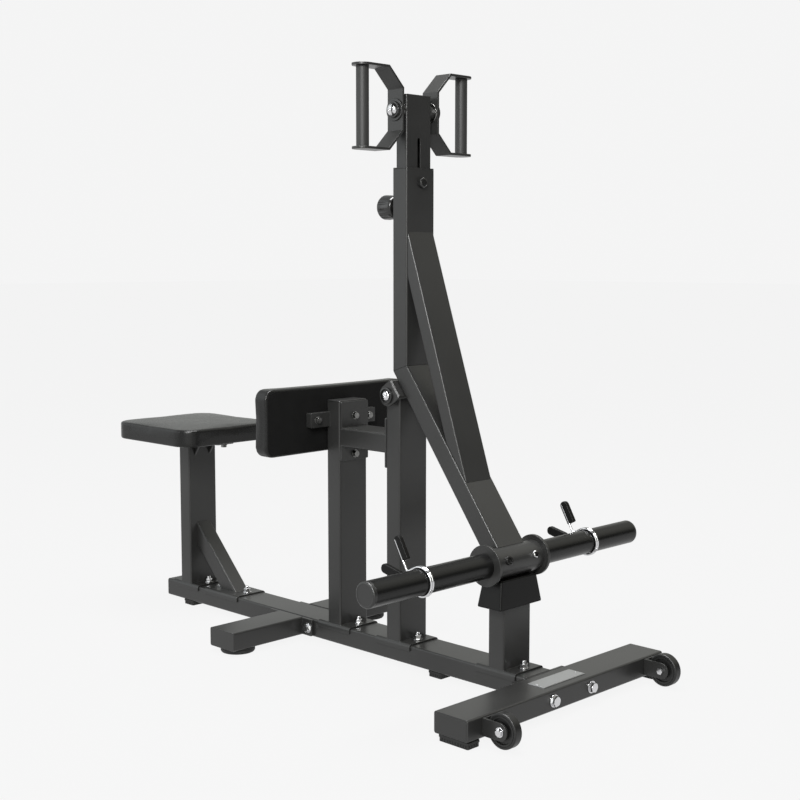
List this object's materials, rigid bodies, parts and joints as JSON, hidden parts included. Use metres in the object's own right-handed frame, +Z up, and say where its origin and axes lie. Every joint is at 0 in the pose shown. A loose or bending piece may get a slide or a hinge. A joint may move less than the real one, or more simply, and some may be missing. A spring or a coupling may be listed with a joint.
{
  "type": "plate-loaded seated row machine",
  "caption": "Free-standing row machine: low steel floor frame with seat and chest pad, a pivoting lever with a weight bar, a telescoping handle post and swivelling handles.",
  "frame": {"origin": "under the middle of the whole machine, on the floor, in its plane of symmetry", "axes": "+X from the seat towards the crossbar with the wheels, +Y to the left of the seated user, +Z up"},
  "size_m": [1.365, 0.776, 1.2128],
  "materials": {
    "powder_coat": "satin dark graphite powder coat on steel",
    "vinyl": "fine grained dark grey vinyl over foam",
    "board": "plywood under a matt black covering",
    "rubber": "matt black moulded rubber",
    "plastic": "black moulded plastic with a soft sheen",
    "chrome": "bright zinc or chrome plating"
  },
  "bodies": {
    "frame": {"main_rail": "powder_coat", "rail_end_cap": "plastic", "front_crossbar": "powder_coat", "crossbar_foot_left": "rubber", "crossbar_foot_right": "rubber", "stabiliser_left": "powder_coat", "stabiliser_right": "powder_coat", "stabiliser_foot_left": "rubber", "stabiliser_foot_right": "rubber", "rail_foot_rear": "rubber", "rail_foot_middle": "rubber", "seat_post": "powder_coat", "seat_brace": "powder_coat", "seat_bracket": "powder_coat", "seat_board": "board", "seat_cushion": "vinyl", "pad_post": "powder_coat", "pad_post_cap": "plastic", "pad_board": "board", "pad_cushion": "vinyl", "link_beam": "powder_coat", "lever_post": "powder_coat", "pivot_bush_left": "plastic", "pivot_bush_right": "plastic", "bumper_post": "powder_coat", "bumper": "rubber", "wheel_bracket_left": "powder_coat", "wheel_bracket_right": "powder_coat", "wheel_axle_left": "chrome", "wheel_axle_right": "chrome"},
    "wheel_left": {"wheel_left": "rubber"},
    "wheel_right": {"wheel_right": "rubber"},
    "lever": {"lever_upright": "powder_coat", "lever_arm": "powder_coat", "lever_brace": "powder_coat", "pivot_bracket": "powder_coat", "pivot_bolt": "chrome", "pivot_nut": "chrome", "bar_sleeve": "powder_coat", "sleeve_lock_bolt": "chrome", "weight_bar": "powder_coat", "bar_cap_left": "plastic", "bar_cap_right": "plastic", "post_guide_bush": "plastic", "stop_bolt": "plastic", "pin_housing": "powder_coat"},
    "pull_pin": {"pull_knob": "plastic"},
    "handle_post": {"handle_post": "powder_coat", "handle_axle_bolt": "chrome", "handle_axle_nut": "chrome"},
    "handle_left": {"handle_strap_left": "powder_coat", "handle_grip_left": "powder_coat"},
    "handle_right": {"handle_strap_right": "powder_coat", "handle_grip_right": "powder_coat"},
    "collar_left": {"collar_spring_left": "chrome", "collar_grip_upper_left": "plastic", "collar_grip_lower_left": "plastic"},
    "collar_right": {"collar_spring_right": "chrome", "collar_grip_upper_right": "plastic", "collar_grip_lower_right": "plastic"}
  },
  "joints": [
    {"name": "lever_swing", "type": "hinge", "parent": "frame", "child": "lever", "pos_m": [0.17551, 0, 0.564], "axis": [0, -1, 0], "range_deg": [0, 50]},
    {"name": "handle_post_slide", "type": "slide", "parent": "lever", "child": "handle_post", "axis": [0, 0, 1], "range_m": [-0.075, 0.075]},
    {"name": "pull_pin_slide", "type": "slide", "parent": "lever", "child": "pull_pin", "axis": [-1, 0, 0], "range_m": [0, 0.01], "stiffness_N_per_m": 1200, "springref_m": -0.004},
    {"name": "handle_left_swivel", "type": "hinge", "parent": "handle_post", "child": "handle_left", "pos_m": [0.19453, 0, 1.13127], "axis": [0, 1, 0], "continuous": true},
    {"name": "handle_right_swivel", "type": "hinge", "parent": "handle_post", "child": "handle_right", "pos_m": [0.19453, 0, 1.13127], "axis": [0, 1, 0], "continuous": true},
    {"name": "collar_left_slide", "type": "slide", "parent": "lever", "child": "collar_left", "axis": [0, 1, 0], "range_m": [-0.155, 0.115]},
    {"name": "collar_right_slide", "type": "slide", "parent": "lever", "child": "collar_right", "axis": [0, -1, 0], "range_m": [-0.155, 0.115]},
    {"name": "wheel_left_spin", "type": "hinge", "parent": "frame", "child": "wheel_left", "pos_m": [0.65049, 0.243, 0.0335], "axis": [0, 1, 0], "continuous": true},
    {"name": "wheel_right_spin", "type": "hinge", "parent": "frame", "child": "wheel_right", "pos_m": [0.65049, -0.243, 0.0335], "axis": [0, 1, 0], "continuous": true}
  ]
}
